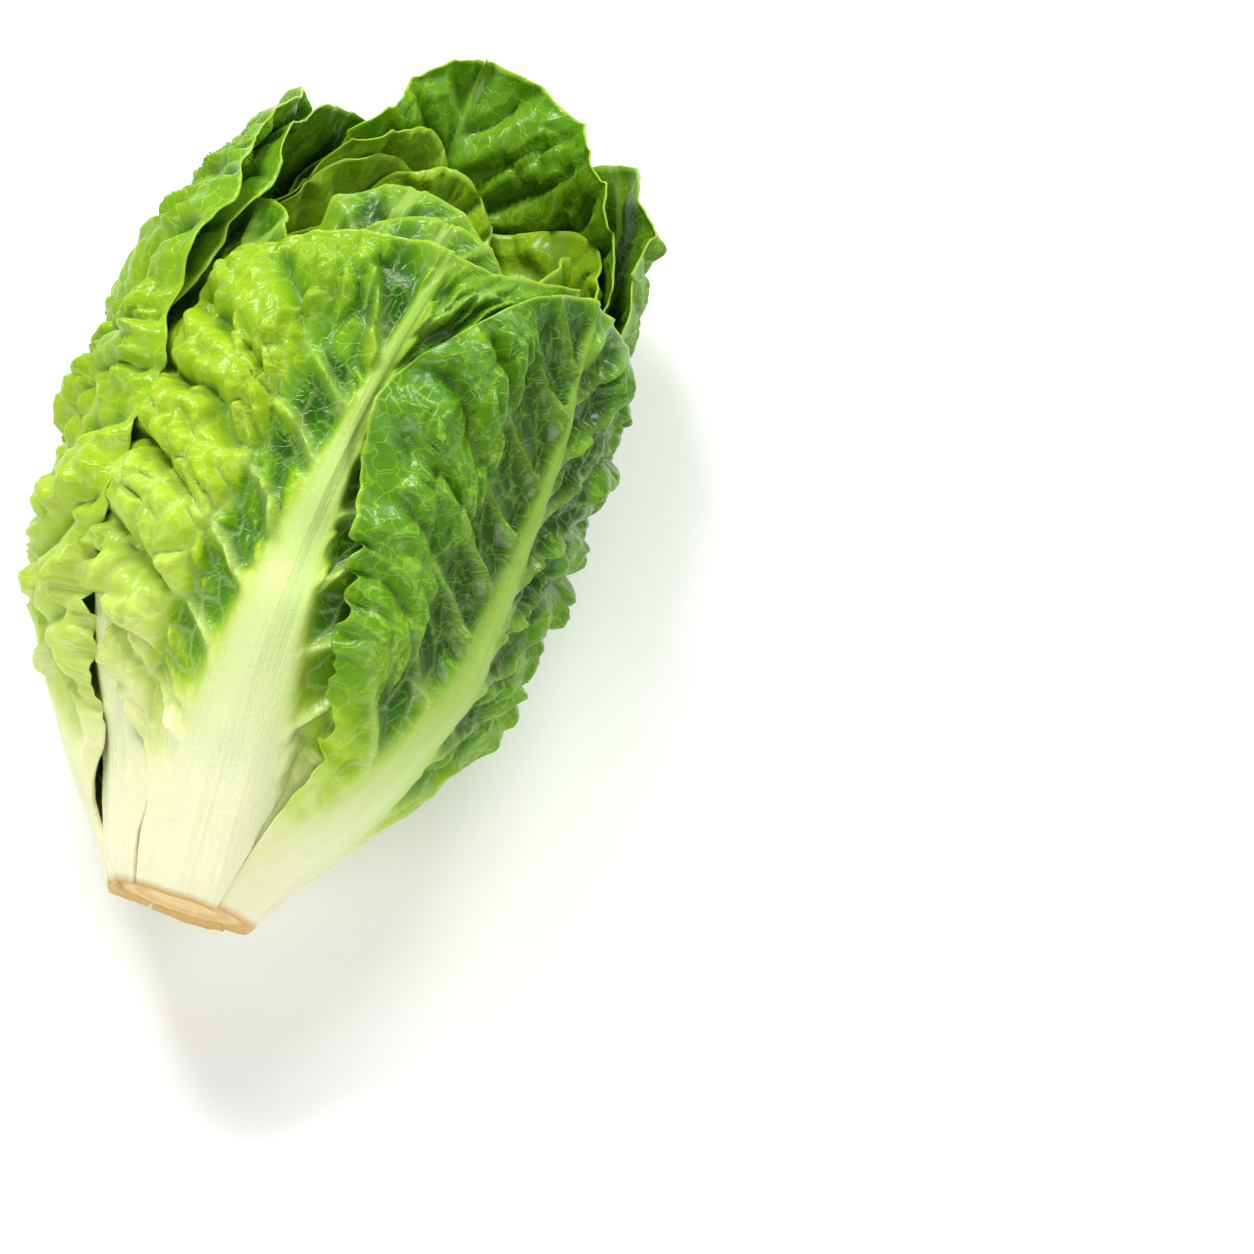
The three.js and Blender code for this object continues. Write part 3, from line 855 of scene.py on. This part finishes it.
OUTER_LEAVES = [
    {
        "name": "under_leaf", "azimuth": 163, "depth": 0, "base_depth": 0, "tip": 113,
        "drop": (12, 12), "grid": (80, 100),
        "left": [(0, 12), (14, 14), (27, 24), (45, 40), (70, 48), (101, 46)],
        "right": [(0, 47), (14, 46), (27, 44), (45, 47), (70, 48), (101, 42)],
    },
    {
        "name": "right_wrapper_leaf", "azimuth": 64, "depth": 0, "base_depth": 0, "tip": 120.5,
        "drift": -5, "drop": (20, 12), "grid": (170, 190), "green": FOOT, "savoy": 1.8, "sink": 1.3,
        "rib_width": 5.5, "calm": 20, "margin": 13, "frill": (4.0, 0.3), "pits": 1.4, "room": 2,
        "spread": 1.1, "rib_tone": 0.3,
        "left": [(0, 30), (8, 29), (14, 29), (22, 28), (45, 36), (66, 43), (84, 48), (97, 42), (100, 38)],
        "right": [(0, 29), (14, 28), (27, 32), (45, 42), (60, 46), (80, 47), (100, 43), (110, 36)],
    },
    {
        "name": "left_wrapper_leaf", "azimuth": -105, "depth": 0, "base_depth": 0, "tip": 146,
        "drift": 15, "drop": (12, 8),
        "lift": (LEVEL, [(10, 0), (13, -0.8), (16, -2.4), (20, -4.4), (26, -6.0), (38, -6.2),
                         (50, -5), (60, -2.8), (85, -1.8), (110, 1), (130, 2)]),
        "grid": (140, 190), "savoy": 2.1, "sink": 1.7, "room": 2, "calm": 18,
        "margin": 6, "frill": (0.5, 1.4), "rib_tone": 0.1,
        "green": [(0, 0), (25, 0.12), (45, 0.3), (75, 0.42), (110, 0.56), (135, 0.66), (160, 0.75)],
        "left": [(0, 41), (20, 40), (45, 40), (70, 42), (100, 43), (125, 42), (134, 30)],
        "right": [(0, 21), (9, 22), (13, 28), (18, 38), (25, 43), (52, 49), (60, 57),
                  (80, 59), (102, 54), (117, 54), (138, 33)],
    },
    {
        "name": "right_back_leaf", "azimuth": 124, "depth": 3.2, "base_depth": 0, "tip": 155,
        "open": 6, "open_from": 127, "drift": 4, "drop": (22, 8), "grid": (90, 120), "green": DEEP,
        "left": [(0, 29), (14, 28), (30, 30), (60, 40), (100, 44), (128, 42)],
        "right": [(0, 24), (14, 24), (30, 30), (60, 38), (100, 42), (142, 40)],
    },
    {
        "name": "left_back_leaf", "azimuth": -132, "depth": 3.2, "tip": 149, "drift": 8,
        "drop": (10, 14), "grid": (100, 130), "green": DEEP,
        "left": [(0, 24), (30, 36), (60, 44), (100, 44), (137, 36)],
        "right": [(0, 24), (30, 31), (60, 40), (85, 64), (105, 82), (125, 82), (135, 68)],
    },
    {
        "name": "front_leaf", "azimuth": 2, "depth": 4.8, "base_depth": 0, "tip": 118.5, "drift": 11,
        "drop": (13, -4), "grid": (190, 205), "green": BRIGHT, "savoy": 2.4, "sink": 1.2,
        "pits": 1.3, "room": 2.1, "lean": 0.09, "rib_shift": 2.6, "rib_tone": 0.08,
        "rib_width": 8, "rib_height": 1.5, "vein_spacing": 14, "frill": (3.4, 1.4), "calm": 20,
        "left": [(0, 33), (8, 31), (15, 26), (26, 37), (44, 50), (56, 55), (75, 57), (92, 57),
                 (105, 54)],
        "right": [(0, 29), (8, 31), (12, 35), (18, 41), (32, 45), (48, 48), (60, 50), (80, 50), (100, 48),
                  (122, 44)],
    },
    {
        "name": "tall_back_leaf", "azimuth": 190, "depth": 6.6, "tip": 166, "drift": 14,
        "drop": (18, 18), "shoulder": 3, "open": 9, "open_from": 150, "grid": (130, 170),
        "green": DEEP, "savoy": -1.4, "calm": 128, "room": 2.6, "sink": 1.3, "rib_tone": 0.35,
        "rib_height": 0.3, "rib_width": 4, "pits": 0, "pillow_from": -4,
        "left": [(0, 20), (30, 30), (60, 60), (100, 90), (125, 106), (151, 103)],
        "right": [(0, 20), (30, 30), (60, 44), (100, 48), (125, 48), (151, 48)],
    },
    {
        "name": "left_inner_leaf", "azimuth": -58, "depth": 8, "base_depth": 0, "tip": 121.5,
        "drift": 12, "drop": (12, 9), "grid": (90, 120), "calm": 26, "rib_width": 8,
        "rib_shift": 7, "savoy": 0.8, "sink": 0.3, "room": 1.0, "frill": (0.8, 0.3),
        "left": [(0, 27), (8, 28), (12, 32), (18, 40), (40, 46), (80, 50), (110, 40)],
        "right": [(0, 25), (8, 27), (12, 31), (18, 40), (40, 46), (80, 35), (112, 18)],
        "green": [(0, 0), (18, 0.05), (34, 0.2), (70, 0.34), (95, 0.55), (125, 0.68), (160, 0.8)],
    },
    {
        **TIP_LOOK, "name": "right_inner_leaf", "azimuth": 138, "depth": 8.4, "tip": 141, "drop": (20, 4),
        "left": [(0, 30), (40, 50), (80, 60), (121, 56)],
        "right": [(0, 30), (40, 40), (80, 44), (136, 42)], "grid": (90, 110), "calm": 108,
    },
    {
        **TIP_LOOK, "name": "left_tip_leaf", "azimuth": -138, "depth": 9.9, "tip": 151, "drop": (9, 6),
        "width": 42, "grid": (75, 100), "calm": 120,
    },
    {
        "name": "front_inner_leaf", "azimuth": 13, "depth": 10.3, "tip": 125, "drop": (7, 7),
        "width": 34, "grid": (80, 100), "green": BRIGHT,
    },
    {
        **TIP_LOOK, "name": "left_cupped_leaf", "azimuth": -132, "depth": 12.1, "tip": 144, "drop": (14, 12),
        "left": [(0, 30), (60, 46), (110, 48), (130, 42)],
        "right": [(0, 30), (60, 44), (110, 40), (128, 36)],
        "grid": (80, 100), "calm": 112,
    },
    {
        "name": "front_cupped_leaf", "azimuth": -4, "depth": 12.4, "tip": 130.5, "drop": (5, 9),
        "left": [(0, 20), (60, 30), (100, 26), (126, 22)],
        "right": [(0, 20), (60, 40), (100, 42), (123, 36)],
        "grid": (70, 100), "green": BRIGHT,
    },
    {
        **TIP_LOOK, "name": "back_inner_leaf", "azimuth": 195, "depth": 14, "tip": 145.5, "drop": (9, 4),
        "width": 42, "grid": (75, 100), "calm": 112,
    },
]

HEART_COUNT = 12


def heart_leaf(k):
    return {
        "name": f"heart_leaf_{k + 1:02d}",
        "azimuth": 96 + k * 137.5,
        "depth": 15.8 + 1.55 * k,
        "tip": 132 - 3.2 * k,
        "width": 62,
        "savoy": 0.5,
        "ruffle": 0.5,
        "frill": (0.3, 0.3),
        "rib_height": 0.5,
        "rib_width": 6,
        "green": BRIGHT,
        "grid": (40, 50) if k < 6 else (24, 30),
    }


# ---- build -------------------------------------------------------------------------------------

make_camera()
make_floor()
make_lights()
leaf_finish = leaf_material("leaf")
LEAVES = [
    {**COMMON, "seed": 31 * number + 5, **given}
    for number, given in enumerate(OUTER_LEAVES + [heart_leaf(k) for k in range(HEART_COUNT)])
]
for leaf in LEAVES:
    build_leaf(leaf, leaf_finish)

build_stem()
